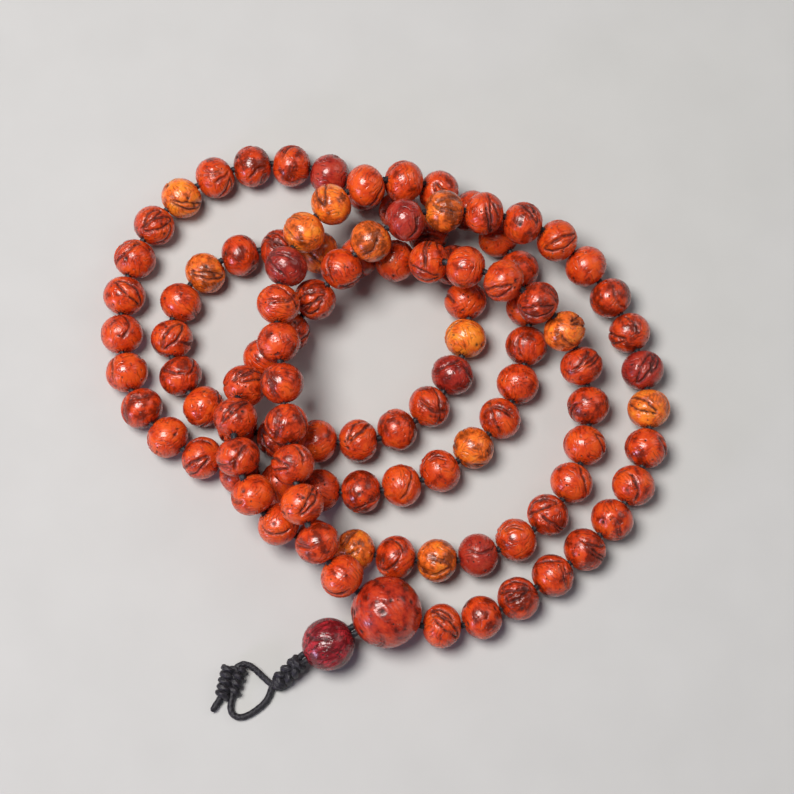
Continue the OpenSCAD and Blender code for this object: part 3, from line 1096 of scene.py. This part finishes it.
class MALA_OT_stage(bpy.types.Operator):
    """Set up the pale floor, the soft studio lights and the camera"""

    bl_idname = "mala.stage"
    bl_label = "Stage"

    def light(self, name, place, target, size, power, colour):
        data = bpy.data.lights.new(name, "AREA")
        data.shape = "DISK"
        data.size = size
        data.energy = power
        data.color = colour
        lamp = bpy.data.objects.new(name, data)
        bpy.context.scene.collection.objects.link(lamp)
        lamp.location = place
        lamp.rotation_euler = (Vector(target) - Vector(place)).to_track_quat("-Z", "Y").to_euler()

    def execute(self, context):
        deselect_all()
        bpy.ops.mesh.primitive_plane_add(size=4)
        floor = bpy.context.active_object
        floor.name = "pale_floor"
        material, net, shader = new_material("pale_floor")
        spot = net.add("ShaderNodeTexCoord").outputs["Object"]
        grain = net.add("ShaderNodeTexNoise", in_Vector=spot, in_Scale=60.0, in_Detail=4.0)
        tint = net.ramp(grain.outputs["Fac"], (0.3, (0.50, 0.50, 0.49)), (0.7, (0.52, 0.52, 0.51)))
        net.feed(tint, shader.inputs["Base Color"])
        shader.inputs["Roughness"].default_value = 0.75
        floor.data.materials.append(material)

        world = bpy.data.worlds.new("studio")
        world.use_nodes = True
        background = world.node_tree.nodes["Background"]
        background.inputs["Color"].default_value = SKY_COLOUR
        background.inputs["Strength"].default_value = SKY_STRENGTH
        context.scene.world = world
        for light in LIGHTS:
            self.light(*light)
        context.scene.view_settings.view_transform = "Standard"

        target, elevation = Vector(CAMERA_TARGET) * MM, math.radians(CAMERA_ELEVATION)
        camera_data = bpy.data.cameras.new("camera")
        camera_data.lens = CAMERA_LENS
        camera_data.clip_start = 0.01
        camera = bpy.data.objects.new("camera", camera_data)
        context.scene.collection.objects.link(camera)
        camera.location = target + CAMERA_DISTANCE * Vector((0, -math.cos(elevation), math.sin(elevation)))
        camera.rotation_euler = (target - camera.location).to_track_quat("-Z", "Y").to_euler()
        context.scene.camera = camera
        return {"FINISHED"}


class MALA_PT_sidebar(bpy.types.Panel):
    bl_idname = "MALA_PT_sidebar"
    bl_label = "Mala Prayer Beads"
    bl_space_type = "VIEW_3D"
    bl_region_type = "UI"
    bl_category = "Mala"

    def draw(self, context):
        for settings in (context.scene.mala_sizes, context.scene.mala_colours):
            box = self.layout.box()
            for name in settings.__annotations__:
                box.prop(settings, name)
        for operator in OPERATORS:
            self.layout.operator(operator.bl_idname)


OPERATORS = (
    MALA_OT_stage,
    MALA_OT_tail_loop,
    MALA_OT_stopper_knot,
    MALA_OT_tail_cords,
    MALA_OT_strand_cord,
    MALA_OT_seed_beads,
    MALA_OT_guru_bead,
    MALA_OT_tower_bead,
)
CLASSES = (MalaSizes, MalaColours, *OPERATORS, MALA_PT_sidebar)


def register():
    for one in CLASSES:
        bpy.utils.register_class(one)
    bpy.types.Scene.mala_sizes = bpy.props.PointerProperty(type=MalaSizes)
    bpy.types.Scene.mala_colours = bpy.props.PointerProperty(type=MalaColours)


def unregister():
    del bpy.types.Scene.mala_colours
    del bpy.types.Scene.mala_sizes
    for one in reversed(CLASSES):
        bpy.utils.unregister_class(one)


def main():
    register()
    for operator in OPERATORS:
        family, name = operator.bl_idname.split(".")
        getattr(getattr(bpy.ops, family), name)()


if __name__ == "__main__":
    main()
